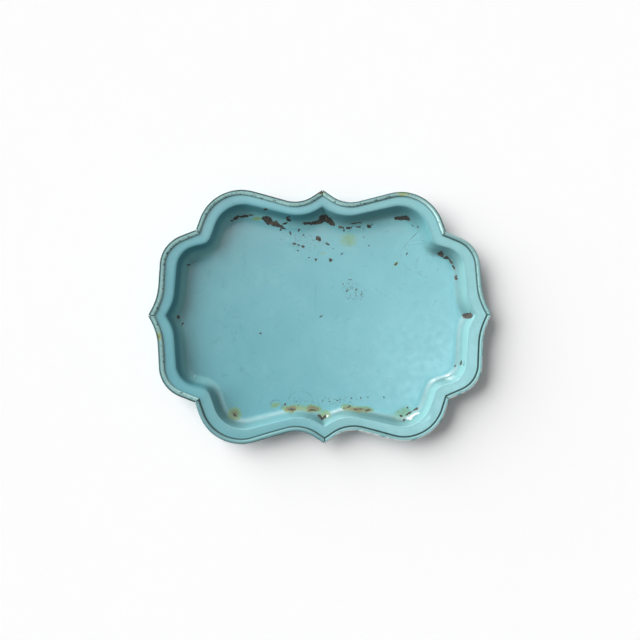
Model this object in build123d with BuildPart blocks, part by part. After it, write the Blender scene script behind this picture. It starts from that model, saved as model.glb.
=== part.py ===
"""A serving tray pressed from sheet steel, with a cartouche outline and a wired hem.

Frame: +Z up, the origin under the middle of the floor, on the surface that the tray stands on.
X runs along the long side. The outline is symmetrical about both axes.
"""
import os
from math import cos, radians, sin, tan

from build123d import *

os.makedirs("parts", exist_ok=True)

# ---- driving dimensions (mm) -------------------------------------------------------------------
LENGTH = 406.0              # between the two end cusps
WIDTH = 300.0               # between the front and back cusps
SHEET = 0.6                 # steel sheet
DEPTH = 18.4                # from the floor up to the flange
WALL_LEAN = 75.0            # degrees between the wall and the floor
SHOULDER_RADIUS = 1.5       # bend from the flange into the wall, on its upper face
COVE_RADIUS = 10.0          # bend from the wall into the floor, on its upper face
HEM_WIDTH = 5.0             # the sheet's edge is folded back over the flange by this much
TUCK = 60.0                 # degrees that the fold's raw edge is turned down towards the flange
TUCK_RADIUS = 1.5           # of that last bend, on its upper face
EDGE_GAP = 0.12             # between the raw edge and the flange
WIRE_DIAMETER = 1.6         # stiffening wire inside the fold
WIRE_PLAY = 0.1             # radial room around the wire
SLIT = 0.9                  # gap across the hem at each corner of the outline

# ---- outline, back right quarter ---------------------------------------------------------------
# Corner points of the straight runs, and the radius that rounds each inner one. The quarter runs
# clockwise: back cusp, long scallop, notch, short scallop, right cusp.
BACK_CUSP = (0.0, WIDTH / 2)
NOTCH = (149.0, 100.5)
RIGHT_CUSP = (LENGTH / 2, 0.0)
LONG_SCALLOP = [BACK_CUSP, (26.5, 132.0), (129.0, 159.5), NOTCH]
LONG_RADII = [38.5, 52.0]
SHORT_SCALLOP = [NOTCH, (189.0, 84.0), (192.5, 21.5), RIGHT_CUSP]
SHORT_RADII = [38.5, 65.0]

# The well's outline is the line where the flange starts to bend down. Its notch is rounded.
WELL_QUARTER = [
    (0.0, 132.0),
    (20.5, 117.0),
    (117.0, 139.5),
    (135.5, 86.5),
    (170.5, 78.0),
    (175.5, 15.0),
    (185.0, 0.0),
]
WELL_RADII = [47.0, 37.0, 11.0, 28.0, 44.0]

# ---- worked out from the above -----------------------------------------------------------------
FLANGE_UNDER = DEPTH                            # height of the flange's underside
FLANGE_TOP = FLANGE_UNDER + SHEET
FOLD_INNER = WIRE_DIAMETER / 2 + WIRE_PLAY      # radius of the fold round the wire
FOLD_OUTER = FOLD_INNER + SHEET
FOLD_CENTRE = (FOLD_OUTER, FLANGE_TOP + FOLD_INNER)     # inward from the outline, and height
HEM_TOP = FOLD_CENTRE[1] + FOLD_OUTER
TAB = 1.0                                       # how far a swept section runs into a flat plate
LEAD = 0.2                                      # flat stretch before a bend
OVERRUN = 20.0                                  # how far a sweep runs on past a corner, to be trimmed
PATH_STEP = 0.001                               # part of a path over which its direction is read

# The raw edge's upper and lower corners, and the knee where the fold's top turns down.
RAW_EDGE = SHEET * Vector(sin(radians(TUCK)), cos(radians(TUCK)))
RAW_UPPER = Vector(HEM_WIDTH, FLANGE_TOP + EDGE_GAP + RAW_EDGE.Y)
RAW_LOWER = RAW_UPPER - RAW_EDGE
KNEE_OVER = (HEM_WIDTH - (HEM_TOP - RAW_UPPER.Y) / tan(radians(TUCK)), HEM_TOP)
KNEE_UNDER = (KNEE_OVER[0] - SHEET * tan(radians(TUCK / 2)), HEM_TOP - SHEET)

SHOULDER_CORNER = (SHOULDER_RADIUS * tan(radians(WALL_LEAN / 2)) + LEAD, FLANGE_TOP)
COVE_CORNER = (SHOULDER_CORNER[0] + DEPTH / tan(radians(WALL_LEAN)), SHEET)
COVE_END = COVE_CORNER[0] + COVE_RADIUS * tan(radians(WALL_LEAN / 2)) + LEAD
UNDER_SHIFT = SHEET * tan(radians(WALL_LEAN / 2))       # the underside's corners lie this far outward


def run_on(start, towards):
    """The point OVERRUN beyond start, on the line from towards through start."""
    step = Vector(*start) - Vector(*towards)
    return Vector(*start) + step.normalized() * OVERRUN


def extended(points):
    """The same corner points, with the first and last run made longer."""
    return [run_on(points[0], points[1]), *points[1:-1], run_on(points[-1], points[-2])]


def section_plane(path):
    """The plane across the start of a path: local X points inward and local Y points up."""
    along = path @ PATH_STEP - path @ 0
    return Plane(path @ 0, x_dir=(along.Y, -along.X, 0), z_dir=-along)


def mirrored_quarters():
    """Repeat what is in the current part in the other three quarters."""
    mirror(about=Plane.YZ)
    mirror(about=Plane.XZ)


def mitre_plane():
    """The upright plane that halves the notch. Its normal points along the outline, clockwise."""
    before = (Vector(*NOTCH) - Vector(*LONG_SCALLOP[-2])).normalized()
    after = (Vector(*SHORT_SCALLOP[1]) - Vector(*NOTCH)).normalized()
    return Plane(NOTCH, z_dir=before + after)


def trim_to_long_scallop():
    """Keep what lies between the back cusp and the notch, less half a slit at each end."""
    split(bisect_by=Plane.YZ.offset(SLIT / 2), keep=Keep.TOP)
    split(bisect_by=mitre_plane().offset(-SLIT / 2), keep=Keep.BOTTOM)


def trim_to_short_scallop():
    """Keep what lies between the notch and the right cusp, less half a slit at each end."""
    split(bisect_by=mitre_plane().offset(SLIT / 2), keep=Keep.TOP)
    split(bisect_by=Plane.XZ.offset(-SLIT / 2), keep=Keep.BOTTOM)


def hem_section(plane):
    """The sheet's edge, folded up and back over the wire, with its raw edge tucked down."""
    with BuildSketch(plane) as hem:
        with BuildLine():
            outside = CenterArc(FOLD_CENTRE, FOLD_OUTER, -90, -180)
            inside = CenterArc(FOLD_CENTRE, FOLD_INNER, -90, -180)
            over = FilletPolyline(outside @ 1, KNEE_OVER, RAW_UPPER, radius=TUCK_RADIUS)
            under = FilletPolyline(inside @ 1, KNEE_UNDER, RAW_LOWER, radius=TUCK_RADIUS - SHEET)
            Line(over @ 1, under @ 1)
            tab_end = FOLD_OUTER + TAB
            Polyline(outside @ 0, (tab_end, FLANGE_UNDER), (tab_end, FLANGE_TOP), inside @ 0)
        make_face()
    return hem.sketch


def wire_section(plane):
    """The stiffening wire, in the round of the fold."""
    with BuildSketch(plane) as wire:
        with Locations(FOLD_CENTRE):
            Circle(WIRE_DIAMETER / 2)
    return wire.sketch


def wall_section(plane):
    """Shoulder, leaning wall and cove, with a tab of flange and a tab of floor."""
    with BuildSketch(plane) as wall:
        with BuildLine():
            over = FilletPolyline(
                (-TAB, FLANGE_TOP),
                SHOULDER_CORNER,
                COVE_CORNER,
                (COVE_END + TAB, SHEET),
                radius=[SHOULDER_RADIUS, COVE_RADIUS],
            )
            under = FilletPolyline(
                (-TAB, FLANGE_UNDER),
                (SHOULDER_CORNER[0] - UNDER_SHIFT, FLANGE_UNDER),
                (COVE_CORNER[0] - UNDER_SHIFT, 0),
                (COVE_END + TAB, 0),
                radius=[SHOULDER_RADIUS - SHEET, COVE_RADIUS + SHEET],
            )
            Line(over @ 0, under @ 0)
            Line(over @ 1, under @ 1)
        make_face()
    return wall.sketch


def swept(section, points, radii):
    """Sweep a section along rounded runs that are longer than needed at both ends."""
    with BuildLine(mode=Mode.PRIVATE) as route:
        FilletPolyline(*extended(points), radius=radii)
    sweep(section(section_plane(route.line)), path=route.line)


def area_within(points, radii):
    """The area inside a quarter outline and its mirror images in the other three quarters."""
    with BuildSketch() as area:
        with BuildLine():
            edge = FilletPolyline(*points, radius=radii)
            Polyline(edge @ 0, (0, 0), edge @ 1)
        make_face()
        mirror(about=Plane.YZ)
        mirror(about=Plane.XZ)
    return area.sketch


# ---- the pan: floor, wall, flange and hem, one sheet ---------------------------------------------
with BuildPart() as long_hem:
    swept(hem_section, LONG_SCALLOP, LONG_RADII)
    trim_to_long_scallop()
    mirrored_quarters()

with BuildPart() as short_hem:
    swept(hem_section, SHORT_SCALLOP, SHORT_RADII)
    trim_to_short_scallop()
    mirrored_quarters()

with BuildPart() as wall:
    swept(wall_section, WELL_QUARTER, WELL_RADII)
    split(bisect_by=Plane.YZ, keep=Keep.TOP)
    split(bisect_by=Plane.XZ, keep=Keep.BOTTOM)
    mirrored_quarters()

outline = area_within([*LONG_SCALLOP, *SHORT_SCALLOP[1:]], [*LONG_RADII, 0, *SHORT_RADII])
well = area_within(WELL_QUARTER, WELL_RADII)

with BuildPart() as tray_pan:
    with BuildSketch(Plane.XY.offset(FLANGE_UNDER)):
        add(outline)
        offset(amount=-FOLD_OUTER, kind=Kind.INTERSECTION, mode=Mode.REPLACE)
        add(well, mode=Mode.SUBTRACT)
    extrude(amount=SHEET)
    with BuildSketch(Plane.XY):
        add(well)
        offset(amount=-COVE_END, kind=Kind.INTERSECTION, mode=Mode.REPLACE)
    extrude(amount=SHEET)
    add(wall.part)
    add(long_hem.part)
    add(short_hem.part)

tray_pan.part.label = "tray_pan"
export_step(tray_pan.part, "parts/tray_pan.step")

# ---- the wire: eight lengths, one in each scallop's hem ------------------------------------------
with BuildPart() as long_wire:
    swept(wire_section, LONG_SCALLOP, LONG_RADII)
    trim_to_long_scallop()

with BuildPart() as short_wire:
    swept(wire_section, SHORT_SCALLOP, SHORT_RADII)
    trim_to_short_scallop()

for front in (False, True):
    for left in (False, True):
        lengthwise = "left" if left else "right"
        crosswise = "front" if front else "back"
        for name, quarter_wire in (
            (f"rim_wire_{crosswise}_{lengthwise}", long_wire),
            (f"rim_wire_{lengthwise}_{crosswise}", short_wire),
        ):
            with BuildPart() as rim_wire:
                add(quarter_wire.part)
                if left:
                    mirror(about=Plane.YZ, mode=Mode.REPLACE)
                if front:
                    mirror(about=Plane.XZ, mode=Mode.REPLACE)
            rim_wire.part.label = name
            export_step(rim_wire.part, f"parts/{name}.step")
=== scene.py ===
"""A turquoise serving tray of painted sheet steel, worn and rusty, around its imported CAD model.

The tray's own sizes are in millimetres, as in the CAD model, and are turned into metres where a mesh
is made. Lights and camera are in metres.
"""
import math

import bpy
import numpy as np
from mathutils import Matrix, Vector


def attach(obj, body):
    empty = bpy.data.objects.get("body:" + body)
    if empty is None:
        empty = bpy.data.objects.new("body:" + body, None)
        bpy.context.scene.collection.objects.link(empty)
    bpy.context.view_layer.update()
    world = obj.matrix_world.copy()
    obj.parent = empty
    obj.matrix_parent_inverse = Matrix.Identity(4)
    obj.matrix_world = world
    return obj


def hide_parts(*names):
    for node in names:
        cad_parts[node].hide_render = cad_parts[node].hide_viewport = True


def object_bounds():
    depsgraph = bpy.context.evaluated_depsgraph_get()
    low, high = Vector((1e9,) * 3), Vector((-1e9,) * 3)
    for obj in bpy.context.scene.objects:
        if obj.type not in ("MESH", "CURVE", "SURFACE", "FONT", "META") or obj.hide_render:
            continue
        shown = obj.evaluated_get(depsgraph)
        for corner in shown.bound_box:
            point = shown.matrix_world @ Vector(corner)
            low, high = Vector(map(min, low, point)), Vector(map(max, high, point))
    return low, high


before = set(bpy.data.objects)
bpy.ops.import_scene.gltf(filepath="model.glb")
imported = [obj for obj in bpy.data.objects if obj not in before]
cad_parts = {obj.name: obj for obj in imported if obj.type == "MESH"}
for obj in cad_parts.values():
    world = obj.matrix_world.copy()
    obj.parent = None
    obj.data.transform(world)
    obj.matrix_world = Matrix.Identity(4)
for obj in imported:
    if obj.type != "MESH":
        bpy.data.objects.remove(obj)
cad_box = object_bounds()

MM = 0.001

# ---- sizes of the tray, as in the CAD model (mm) ----
LENGTH = 406.0
WIDTH = 300.0
SHEET = 0.6
DEPTH = 18.4
WALL_LEAN = math.radians(75.0)
LEAD = 0.2  # flat stretch before the shoulder
SHOULDER_RADIUS = 1.5
COVE_RADIUS = 10.0
HEM_WIDTH = 5.0
TUCK = math.radians(60.0)
TUCK_RADIUS = 1.5
WIRE_DIAMETER = 1.6
WIRE_PLAY = 0.1
SLIT = 0.9

NOTCH = (149.0, 100.5)
LONG_SCALLOP = [(0.0, WIDTH / 2), (26.5, 132.0), (129.0, 159.5), NOTCH]
LONG_RADII = [38.5, 52.0]
SHORT_SCALLOP = [NOTCH, (189.0, 84.0), (192.5, 21.5), (LENGTH / 2, 0.0)]
SHORT_RADII = [38.5, 65.0]
WELL_QUARTER = [
    (0.0, 132.0),
    (20.5, 117.0),
    (117.0, 139.5),
    (135.5, 86.5),
    (170.5, 78.0),
    (175.5, 15.0),
    (185.0, 0.0),
]
WELL_RADII = [47.0, 37.0, 11.0, 28.0, 44.0]

FLANGE_TOP = DEPTH + SHEET
FOLD_OUTER = WIRE_DIAMETER / 2 + WIRE_PLAY + SHEET  # radius of the hem's fold round its wire
FOLD_HEIGHT = DEPTH + FOLD_OUTER  # of the fold's centre
HEM_TOP = FOLD_HEIGHT + FOLD_OUTER

# ---- how finely the pan is meshed ----
LONG_STATIONS = 176  # along a long scallop; the ring's total halves cleanly
SHORT_STATIONS = 112
CUSP_SOFTENING = 2.0  # mm along the ring, over which the well's pressed cusps are rounded
BLEND_STATIONS = 18  # each side of a corner, over which the wall's paint changes
COVE_ROWS = (9, 6)  # upper and lower face
SHOULDER_ROWS = (6, 4)
TUCK_ROWS = (5, 4)  # outer and inner face of the hem's fold
FOLD_ROWS = (15, 5)
THIRDS = (0.33, 0.67)
FLOOR_RINGS = [(0.992, False), (0.98, True), (0.96, True), (0.93, True)]  # size, whether it halves
FLOOR_RINGS += [(share, False) for share in np.linspace(0.89, 0.04, 20)]
SHARP_ANGLE = math.radians(50)

# ---- unevenness of the pressed sheet (mm) ----
RIPPLE_WAVES = 7
RIPPLE_SPREAD = (0.7, 1.6)  # of a ripple's waves about its own wavelength
PLEAT_WIDTH = 1.1
PLEAT_DEPTH = 0.22
PLEAT_SPACING = (3.5, 9.0)
PLEAT_STRENGTH = (0.35, 1.0)
PLEAT_BLUR = 288  # stations: so wide that the lobes' pleats are hardly deeper than others
CROWN = 0.35  # how far the hem's top falls towards its two sides
HEM_WAVER = 0.25  # in the hem's width, with waves this long
HEM_WAVE = 60.0
GAP_WAVER = 0.4  # share of the gap under the raw edge
GAP_WAVE = 35.0
TOP_DENTS = 0.05  # in the hem's top
TOP_WAVE = 23.0
FLOOR_RISE = 0.45  # how far the middle of the pressed floor stands off its edge
FLOOR_WAVE = 150.0
FLOOR_DENTS = 0.05
DENT_WAVE = 40.0
FLOOR_REACH = (165.0, 120.0)  # where the rise starts, from the middle
FLOOR_MARGIN = 0.35  # and the share of the way in over which it grows
FLOOR_EVEN = 0.55  # share of the rise that is the same everywhere
FLOOR_BELOW = 3.0  # height under which a point is on the floor
RIM_SAG = 0.12  # how unevenly the rim is pressed
RIM_WAVE = 120.0
FLANGE_DIP = 0.35  # how far the flange falls towards the shoulder

# ---- where the paint's marks lie ----
# Each pair is where a mark starts and where it is complete. On the wall, shares of its height.
SHOULDER_MARK = (0.86, 0.97)
FOOT_MARK = (0.6, 0.1)
FILM_MARK = (0.0, 0.01)
FADE_MARK = (0.0, 0.1)
FLANGE_FADE_AND_SHEEN = 0.5  # how faded and greyed by painted sheen the flange is, as a share of its wall
FLANGE_FADE_MARK = (0.9, 1.0)
# Rows of the flange beside the hem: mm beyond its raw edge, and how much dirt and painted shade each
# has.
CREASE_ROWS = [(2.4, 0.0), (1.7, 0.0), (1.2, 0.8), (0.3, 1.0), (-0.6, 1.0)]
HEM_ABOVE = 0.8  # mm under the fold's centre where the upper side starts
# On the hem, mm from the outline inward.
BEAD_MARK = (0.6, 1.6)
EDGE_MARK = (1.9, 1.0)
OUTER_MARK = (2.2, 1.4)
# On the hem, mm from its raw edge outward.
BEAD_INNER_MARK = (0.0, 0.3)
CHALK_MARK = (2.2, 1.2)
BAND_MARK = (0.0, 0.5)
TOP_MARK = (0.0, 1.0)
CREASE_START = 0.4  # and this much more in the scallop with the most dirt and painted shade
CREASE_SPREAD = 0.6
CREASE_FULL = 0.1

random = np.random.default_rng(16)


# ==== outline ====
class Route:
    """Straight runs joined by tangent arcs. It can be read past both ends, along the end runs."""

    def __init__(self, points, radii):
        points = [np.array(p, float) for p in points]
        self.pieces = []  # start station, start point, heading, curvature
        station = 0.0
        here = points[0]
        for corner, following, radius in zip(points[1:-1], points[2:], radii):
            into = math.atan2(*(corner - here)[::-1])
            out = math.atan2(*(following - corner)[::-1])
            turn = math.remainder(out - into, math.tau)
            setback = radius * math.tan(abs(turn) / 2)
            arc_start = corner - setback * direction(into)
            self.pieces.append((station, here, into, 0.0))
            station += np.linalg.norm(arc_start - here)
            self.pieces.append((station, arc_start, into, math.copysign(1 / radius, turn)))
            station += radius * abs(turn)
            here = corner + setback * direction(out)
        last = math.atan2(*(points[-1] - here)[::-1])
        self.pieces.append((station, here, last, 0.0))
        self.length = station + np.linalg.norm(points[-1] - here)

    def at(self, stations):
        """Points, inward normals and curvature (positive on an outward bulge) at the stations."""
        stations = np.asarray(stations, float)
        starts = np.array([piece[0] for piece in self.pieces])
        which = np.clip(np.searchsorted(starts, stations, side="right") - 1, 0, len(starts) - 1)
        points = np.empty(stations.shape + (2,))
        headings = np.empty(stations.shape)
        bulge = np.empty(stations.shape)
        for i, (start, point, heading, curvature) in enumerate(self.pieces):
            here = which == i
            run = stations[here] - start
            headings[here] = heading + curvature * run
            bulge[here] = -curvature
            if curvature:
                points[here] = point + (rightward(headings[here]) - rightward(heading)) / curvature
            else:
                points[here] = point + run[..., None] * direction(heading)
        return points, rightward(headings), bulge


def direction(angle):
    return np.array([math.cos(angle), math.sin(angle)])


def rightward(angle):
    """To the right of a direction, which is inward, because the routes run clockwise."""
    return np.stack([np.sin(angle), -np.cos(angle)], -1)


def unit(vector):
    return np.asarray(vector, float) / np.linalg.norm(vector)


long_route = Route(LONG_SCALLOP, LONG_RADII)
short_route = Route(SHORT_SCALLOP, SHORT_RADII)
well_route = Route(WELL_QUARTER, WELL_RADII)

BACK_MITRE = np.array([1.0, 0.0])
RIGHT_MITRE = np.array([0.0, -1.0])
NOTCH_MITRE = unit(
    unit(np.subtract(NOTCH, LONG_SCALLOP[-2])) + unit(np.subtract(SHORT_SCALLOP[1], NOTCH))
)


def mitred_station(route, end, mitre, depth, gap):
    """Where a line that runs at an inward depth meets the mitre plane moved by gap along itself."""
    at_end = route.length if end else 0.0
    _, inward, _ = route.at([at_end])
    along = np.array([-inward[0][1], inward[0][0]])
    return at_end + (gap - depth * (mitre @ inward[0])) / (mitre @ along)


def quarter(stretches, depth):
    """A quarter of the ring at an inward depth. A stretch is a route, its first and last station."""
    parts = []
    for route, first, last, count in stretches:
        points, inward, _ = route.at(np.linspace(first, last, count))
        parts.append(points + inward * depth)
    return np.concatenate(parts)


def outline_stretches(depth):
    """The long and the short scallop, half a slit short of each corner."""
    scallops = [
        (long_route, BACK_MITRE, NOTCH_MITRE, LONG_STATIONS),
        (short_route, NOTCH_MITRE, RIGHT_MITRE, SHORT_STATIONS),
    ]
    stretches = []
    for route, first_mitre, last_mitre, count in scallops:
        first = mitred_station(route, False, first_mitre, depth, SLIT / 2)
        last = mitred_station(route, True, last_mitre, depth, -SLIT / 2)
        stretches.append((route, first, last, count))
    return stretches


def well_stretches(depth):
    """The same two stretches of the well's outline. They part in the middle of its notch's arc."""
    half = SLIT / 2
    notch_arc, run_after = well_route.pieces[5:7]
    notch = (notch_arc[0] + run_after[0]) / 2
    first = mitred_station(well_route, False, BACK_MITRE, depth, half)
    last = mitred_station(well_route, True, RIGHT_MITRE, depth, -half)
    return [
        (well_route, first, notch - half, LONG_STATIONS),
        (well_route, notch + half, last, SHORT_STATIONS),
    ]


def whole_ring(back_right):
    """The four quarters in clockwise order, from the back cusp."""
    return np.concatenate([
        back_right,
        back_right[::-1] * (1, -1),
        back_right * (-1, -1),
        back_right[::-1] * (-1, 1),
    ])


def around(values):
    """A value at each station of a quarter, repeated round the ring."""
    return np.concatenate([values, values[::-1]] * 2)


def outline_ring(depth):
    return whole_ring(quarter(outline_stretches(depth), depth))


def well_ring(depth):
    return whole_ring(quarter(well_stretches(depth), depth))


# ==== how the sheet departs from the drawing ====
# Scallops in ring order: back right, right back, right front, front right, front left, left front,
# left back, back left. Each one's edge was closed by itself, so each has its own gap and wear.
# Some tables below also hold painted light and painted shade, which follow the side each scallop
# faces.
SCALLOP_COUNTS = [LONG_STATIONS, SHORT_STATIONS, SHORT_STATIONS, LONG_STATIONS] * 2
HEM_SPREAD = [0.4, 0.0, -0.1, -0.4, 0.2, 1.3, 1.6, 0.8]  # mm wider than drawn
EDGE_GAP = [0.10, 0.20, 0.45, 0.45, 0.30, 0.15, 0.05, 0.05]  # mm between raw edge and flange
CREASE_DIRT_AND_SHADE = [0.6, 0.9, 1.0, 1.0, 0.9, 0.45, 0.25, 0.45]  # dirt and painted shade along the hem's raw edge
OUTER_SHADE_AND_DIRT = [0.8, 0.4, 0.2, 0.25, 0.6, 0.9, 1.0, 1.0]  # painted shade and dirt along the hem's outer side
WALL_FILM_SHADE_AND_LIGHT = [0.5, 0.2, 0.0, 0.0, 0.2, 0.9, 1.0, 0.7]  # dull film on the wall and its foot, with painted shade on the upper wall and painted light in the foot
WALL_FADE_AND_SHEEN = [0.5, 1.0, 1.0, 1.0, 0.6, 0.0, 0.0, 0.0]  # how faded and greyed by painted sheen the paint of the wall is
HEM_CHALK_AND_LIGHT = [1.0, 0.6, 0.45, 0.35, 0.35, 0.9, 1.0, 1.0]  # how pale and thin the hem's paint is, partly painted light on the sides that face the light
BAND_SHADE_AND_DIRT = [0.0, 0.2, 0.15, 0.2, 0.25, 0.0, 0.0, 0.0]  # painted shade and dirt all over the hem's top, on the sides facing away from the light
EDGE_HIGHLIGHT = [0.0, 0.25, 1.0, 0.9, 0.1, 0.0, 0.0, 0.0]  # painted highlight along the outermost edge


def per_scallop(values):
    """One value for each scallop, as one for each station of the ring."""
    return np.repeat(np.array(values, float), SCALLOP_COUNTS)


def blended(values):
    """One value for each station, running from one scallop's into the next round each corner."""
    stations = per_scallop(values)
    weights = np.hanning(2 * BLEND_STATIONS + 1)
    wrapped = np.concatenate([stations[-BLEND_STATIONS:], stations, stations[:BLEND_STATIONS]])
    return np.convolve(wrapped, weights / weights.sum(), mode="valid")


def smoothstep(low, high, value):
    """0 at low and 1 at high, or the other way round where low is the larger."""
    part = np.clip((value - low) / (high - low), 0, 1)
    return part * part * (3 - 2 * part)


def ripple(points, wavelength):
    """A smooth random surface between about -1 and 1 over the plane."""
    total = np.zeros(len(points))
    for _ in range(RIPPLE_WAVES):
        heading = random.uniform(0, math.tau)
        number = math.tau / (wavelength * random.uniform(*RIPPLE_SPREAD))
        total += np.sin(points @ direction(heading) * number + random.uniform(0, math.tau))
    return total / math.sqrt(RIPPLE_WAVES * 1.5)


def soften_round_ring(ring, reach):
    """Blur a ring's points along the ring, over about reach mm."""
    spacing = np.linalg.norm(np.roll(ring, -1, 0) - ring, axis=1).mean()
    return blur_round_ring(ring, reach / spacing)


def blur_round_ring(ring, steps):
    offsets = np.arange(-int(3 * steps), int(3 * steps) + 1)
    weights = np.exp(-0.5 * (offsets / steps) ** 2)
    weights /= weights.sum()
    return sum(w * np.roll(ring, -o, 0) for o, w in zip(offsets, weights))


def outward_bulge():
    """1 where the outline bulges outward, and 0 elsewhere."""
    bulges = [
        (route.at(np.linspace(first, last, count))[2] > 0).astype(float)
        for route, first, last, count in outline_stretches(0)
    ]
    return around(np.concatenate(bulges))


def pleats():
    """Creases across the hem, from 0 to 1."""
    bulge = outward_bulge()
    travelled = np.cumsum(np.linalg.norm(np.roll(outer_line, 1, 0) - outer_line, axis=1))
    depth = np.zeros(len(bulge))
    place = 0.0
    while place < travelled[-1]:
        place += random.uniform(*PLEAT_SPACING)
        strength = random.uniform(*PLEAT_STRENGTH)
        depth = np.maximum(depth, strength * np.exp(-(((travelled - place) / PLEAT_WIDTH) ** 2)))
    return depth * blur_round_ring(bulge, PLEAT_BLUR)


outer_line = outline_ring(0.0)
across = (outline_ring(HEM_WIDTH) - outer_line) / HEM_WIDTH
pleat = pleats()
hem_width = HEM_WIDTH + per_scallop(HEM_SPREAD) + HEM_WAVER * ripple(outer_line, HEM_WAVE)


# ==== the pan's section, as rows that each run once round the ring ====
class Rows:
    """Rows of points, with what the paint needs to know about each of them."""

    # The bead mark is partly painted light, the crease and outer marks dirt and painted shade, and
    # the edge mark a painted highlight; the wall's film and fade marks also carry painted shade,
    # light and sheen.
    MARKS = ("bead", "crease", "outer", "shoulder", "foot", "filmed", "faded", "edge", "under")

    def __init__(self):
        self.points = []
        self.marks = []

    def add(self, flat, height, **marks):
        count = len(flat)
        self.points.append(np.column_stack([flat, np.broadcast_to(height, count)]))
        row = [np.broadcast_to(marks.get(name, 0.0), count) for name in self.MARKS]
        self.marks.append(np.column_stack(row))


def wall_profile(lower_side):
    """The sheet's section from the floor up to the flange, as inward depths and heights."""
    shift = SHEET * math.tan(WALL_LEAN / 2) if lower_side else 0.0
    drop = SHEET if lower_side else 0.0
    shoulder_radius = SHOULDER_RADIUS - drop
    cove_radius = COVE_RADIUS + drop
    setback = math.tan(WALL_LEAN / 2)
    corner = SHOULDER_RADIUS * setback + LEAD
    shoulder_start = corner - shift - shoulder_radius * setback
    foot = corner + DEPTH / math.tan(WALL_LEAN)
    cove_end = foot - shift + cove_radius * setback
    cove = [
        (cove_end - cove_radius * math.sin(a), SHEET - drop + cove_radius * (1 - math.cos(a)))
        for a in np.linspace(0, WALL_LEAN, COVE_ROWS[lower_side])
    ]
    shoulder = [
        (
            shoulder_start + shoulder_radius * math.sin(a),
            FLANGE_TOP - drop - shoulder_radius * (1 - math.cos(a)),
        )
        for a in np.linspace(WALL_LEAN, 0, SHOULDER_ROWS[lower_side])
    ]
    wall = [tuple(np.array(cove[-1]) * (1 - t) + np.array(shoulder[0]) * t) for t in THIRDS]
    return cove + wall + shoulder


def add_well_side(rows, lower_side):
    """Floor's edge, cove, wall and shoulder, upward on top and downward underneath."""
    profile = wall_profile(lower_side)
    for depth, height in reversed(profile) if lower_side else profile:
        ring = soften_round_ring(well_ring(depth), CUSP_SOFTENING)
        up = (height - profile[0][1]) / DEPTH
        to_flange = 1 - (1 - FLANGE_FADE_AND_SHEEN) * smoothstep(*FLANGE_FADE_MARK, up)
        # the film mark carries painted shade and painted light, the fade mark painted sheen as well
        # as fade
        rows.add(
            ring,
            height,
            shoulder=float(smoothstep(*SHOULDER_MARK, up)),
            foot=float(smoothstep(*FOOT_MARK, up)),
            filmed=blended(WALL_FILM_SHADE_AND_LIGHT) * float(smoothstep(*FILM_MARK, up)),
            faded=blended(WALL_FADE_AND_SHEEN) * float(smoothstep(*FADE_MARK, up) * to_flange),
            under=float(lower_side),
        )


def add_flange_top(rows):
    """The flat flange, outward, and on in under the hem."""
    well_edge = rows.points[-1][:, :2]
    limit = outer_line + across * (hem_width + CREASE_ROWS[0][0])[:, None]
    faded = FLANGE_FADE_AND_SHEEN * blended(WALL_FADE_AND_SHEEN)
    for part in THIRDS:
        rows.add(well_edge + (limit - well_edge) * part, FLANGE_TOP, faded=faded)
    # dirt and painted shade beside the hem's raw edge
    dirt_and_shade = per_scallop(CREASE_DIRT_AND_SHADE) ** 2
    for beyond, strength in CREASE_ROWS:
        ring = outer_line + across * (hem_width + beyond)[:, None]
        rows.add(ring, FLANGE_TOP, crease=strength * dirt_and_shade, faded=faded)
    rows.add(outer_line + across * FOLD_OUTER, FLANGE_TOP, crease=1.0)


def add_flange_under(rows):
    """The flange's underside, inward."""
    depth, _ = wall_profile(True)[-1]
    well_edge = soften_round_ring(well_ring(depth), CUSP_SOFTENING)
    limit = outer_line + across * (hem_width + CREASE_ROWS[0][0])[:, None]
    rows.add(outer_line + across * HEM_WIDTH, DEPTH, under=1.0)
    rows.add((limit + well_edge) / 2, DEPTH, under=1.0)


def fold_face(thickness):
    """One face of the hem's fold from the raw edge round to the flange, as depths and heights.

    The thickness is 0 for the outer face, and the sheet's own for the face towards the wire.
    """
    inner = thickness > 0
    gap = per_scallop(EDGE_GAP) * (1 + GAP_WAVER * ripple(outer_line, GAP_WAVE))
    radius = TUCK_RADIUS - thickness
    top = HEM_TOP - thickness
    raw_depth = hem_width - thickness * math.sin(TUCK)
    raw_height = FLANGE_TOP + gap + (SHEET - thickness) * math.cos(TUCK)
    bend_height = top - radius * (1 - math.cos(TUCK))
    bend_depth = raw_depth - (bend_height - raw_height) / math.tan(TUCK)
    centre = bend_depth - radius * math.sin(TUCK)
    everywhere = np.ones(len(outer_line))
    halfway = ((raw_depth + bend_depth) / 2, (raw_height + bend_height) / 2)
    points = [(raw_depth, raw_height), halfway]
    for a in np.linspace(TUCK, 0, TUCK_ROWS[inner]):
        height = top - radius * (1 - math.cos(a))
        points.append((centre + radius * math.sin(a), height * everywhere))
    points.append(((centre + FOLD_OUTER) / 2, top * everywhere))
    turn = FOLD_OUTER - thickness
    for b in np.linspace(math.pi / 2, -math.pi / 2, FOLD_ROWS[inner]):
        depth = FOLD_OUTER - turn * math.cos(b)
        points.append((depth * everywhere, (FOLD_HEIGHT + turn * math.sin(b)) * everywhere))
    return points


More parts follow.
